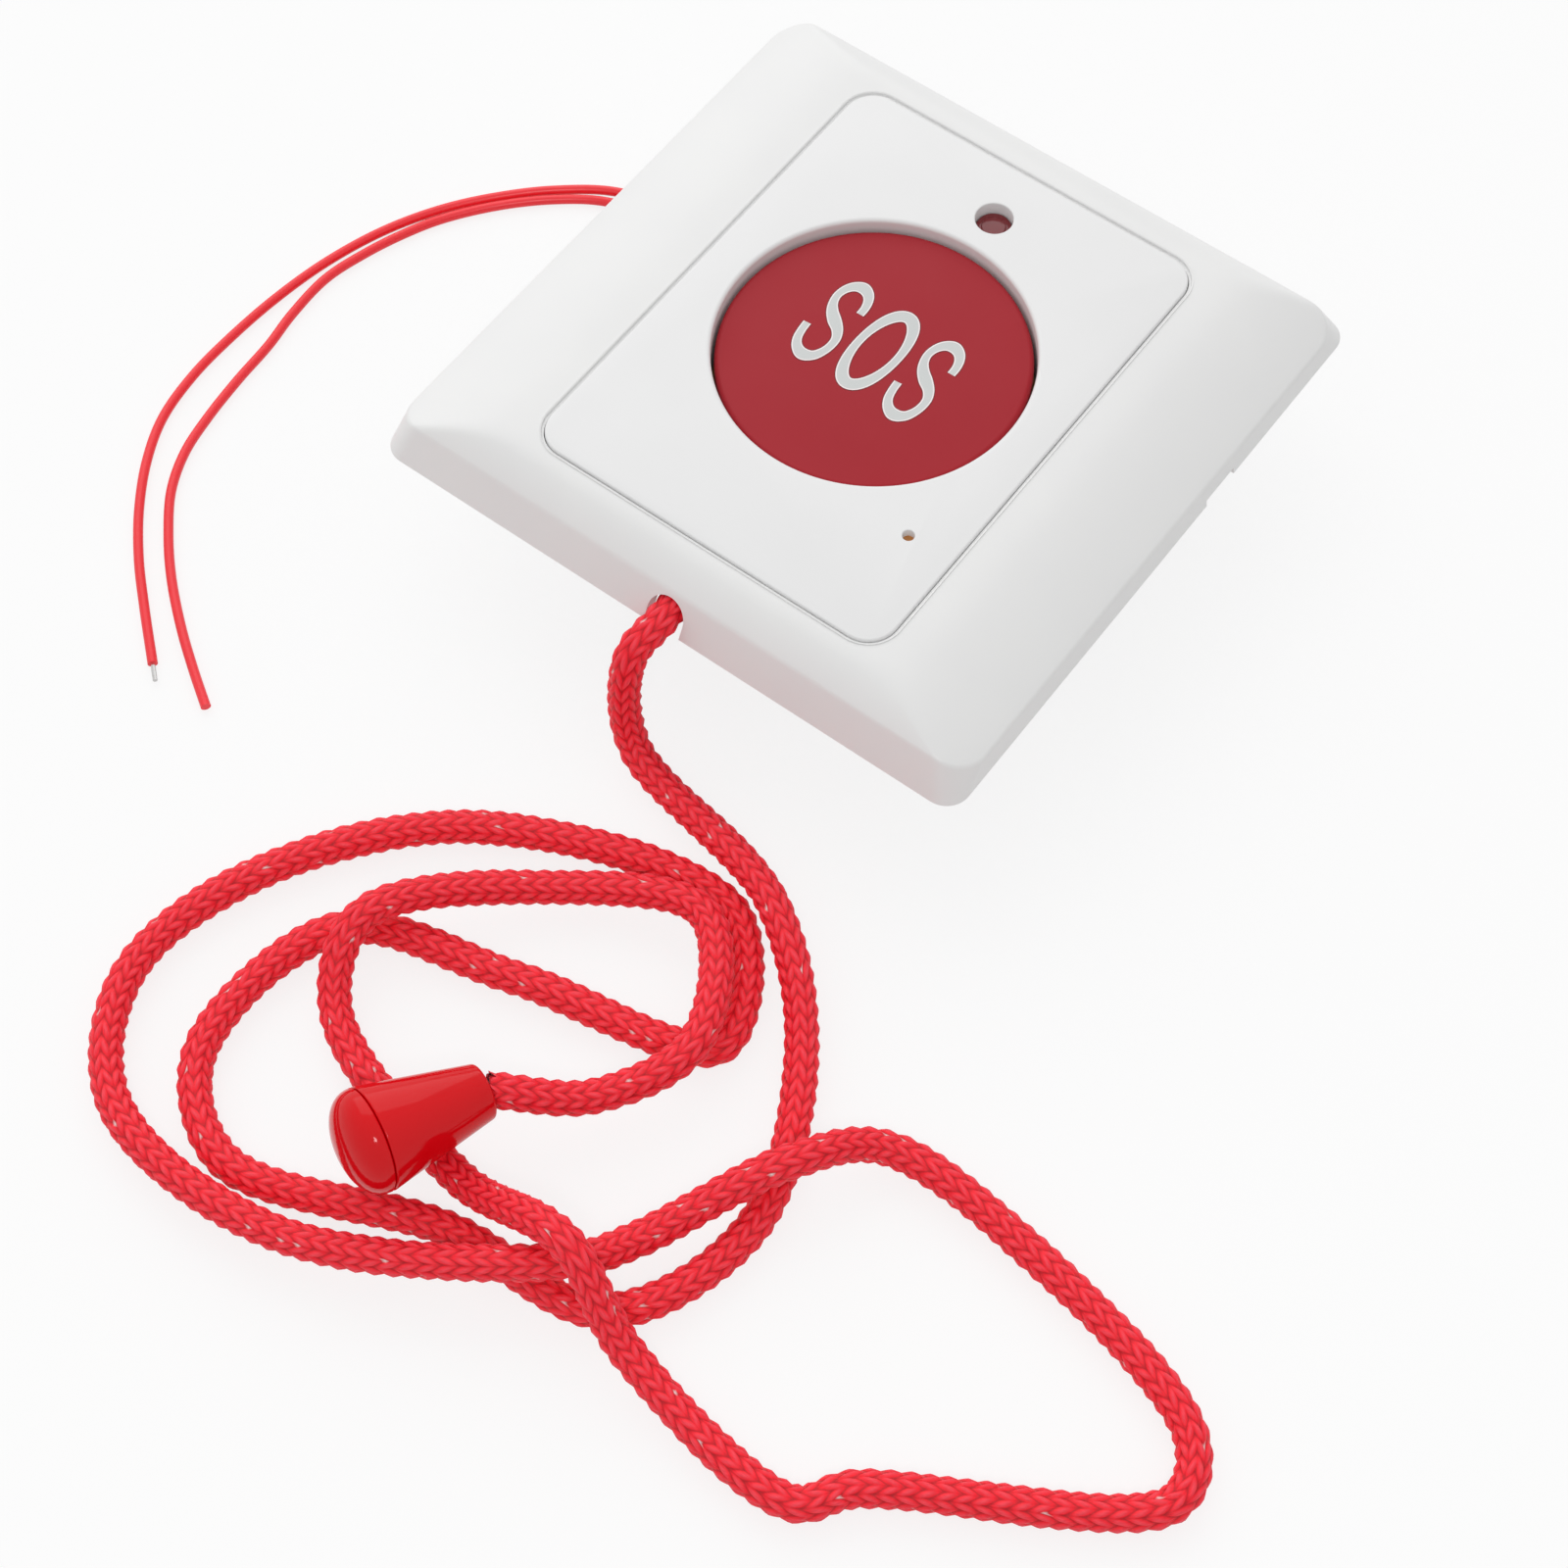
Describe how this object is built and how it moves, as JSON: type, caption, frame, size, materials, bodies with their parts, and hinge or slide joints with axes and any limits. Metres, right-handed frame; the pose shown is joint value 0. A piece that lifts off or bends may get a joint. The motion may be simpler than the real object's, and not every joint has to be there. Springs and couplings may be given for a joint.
{
  "type": "emergency pull cord alarm",
  "caption": "Square wall plate with a round red push button, a red indicator lamp and a long red pull cord that ends in a pear-shaped knob; lies on its back with the cord in loose loops.",
  "frame": {"origin": "on the table plane at the back of the rear housing, under the middle of the wall plate", "axes": "+Z out of the plate's front face, +Y towards the indicator lamp (up on a wall), +X to the viewer's right; the cord leaves towards -Y"},
  "size_m": [0.189, 0.1713, 0.0254],
  "materials": {
    "ivory_plastic": "satin",
    "panel_plastic": "fine matt",
    "housing_plastic": "moulded",
    "red_button": "satin",
    "red_knob": "glossy",
    "red_cord": "knitted",
    "red_insulation": "smooth",
    "red_lens": "translucent",
    "board": "laminate",
    "black_plastic": "satin",
    "green_plastic": "satin",
    "white_plastic": "satin",
    "resistor_lacquer": "lacquered",
    "rubber": "soft",
    "steel": "zinc plated",
    "tinned_copper": "tinned"
  },
  "bodies": {
    "plate": {"front_frame": "ivory_plastic", "mounting_panel": "panel_plastic", "rear_cover": "housing_plastic", "cover_screw_1": "steel", "cover_screw_2": "steel", "cover_screw_3": "steel", "cover_screw_4": "steel", "button_spring": "steel", "press_switch_body": "black_plastic", "circuit_board": "board", "board_screw_1": "steel", "board_screw_2": "steel", "board_screw_3": "steel", "board_screw_4": "steel", "indicator_lamp": "red_lens", "resistor_1": "resistor_lacquer", "resistor_2": "resistor_lacquer", "terminal_block": "green_plastic", "terminal_screw_1": "steel", "terminal_screw_2": "steel", "pivot_pin": "steel", "lever_spring": "steel", "pull_switch_body": "black_plastic", "wire_grommet": "rubber", "lead_wire_1": "red_insulation", "lead_wire_2": "red_insulation", "wire_strand": "tinned_copper"},
    "button": {"push_button": "red_button"},
    "press_plunger": {"press_switch_plunger": "white_plastic"},
    "cord": {"cord_clamp": "steel", "pull_cord": "red_cord", "knob_body": "red_knob", "knob_cap": "red_knob", "knob_knot": "red_cord"},
    "lever": {"pull_lever": "white_plastic"},
    "pull_plunger": {"pull_switch_plunger": "red_button"}
  },
  "joints": [
    {"name": "button_press", "type": "slide", "parent": "plate", "child": "button", "axis": [0, 0, -1], "range_m": [0, 0.0012], "stiffness_N_per_m": 1500, "springref_m": -0.0006, "deforming": ["button_spring"]},
    {"name": "press_plunger_slide", "type": "slide", "parent": "plate", "child": "press_plunger", "axis": [0, 0, -1], "range_m": [0, 0.0012]},
    {"name": "cord_pull", "type": "slide", "parent": "plate", "child": "cord", "axis": [0, -1, 0], "range_m": [0, 0.002], "stiffness_N_per_m": 2000, "springref_m": -0.001, "deforming": ["lever_spring"]},
    {"name": "lever_turn", "type": "hinge", "parent": "plate", "child": "lever", "pos_m": [0.0007, -0.026, 0.008], "axis": [1, 0, 0], "range_deg": [0, 10.3]},
    {"name": "pull_plunger_slide", "type": "slide", "parent": "plate", "child": "pull_plunger", "axis": [0, 0, 1], "range_m": [0, 0.0014]}
  ],
  "couplings": [
    {"joint": "press_plunger_slide", "follows": "button_press", "ratio": 1},
    {"joint": "lever_turn", "follows": "cord_pull", "rad_per_m": 89.3},
    {"joint": "pull_plunger_slide", "follows": "cord_pull", "ratio": 0.7}
  ]
}
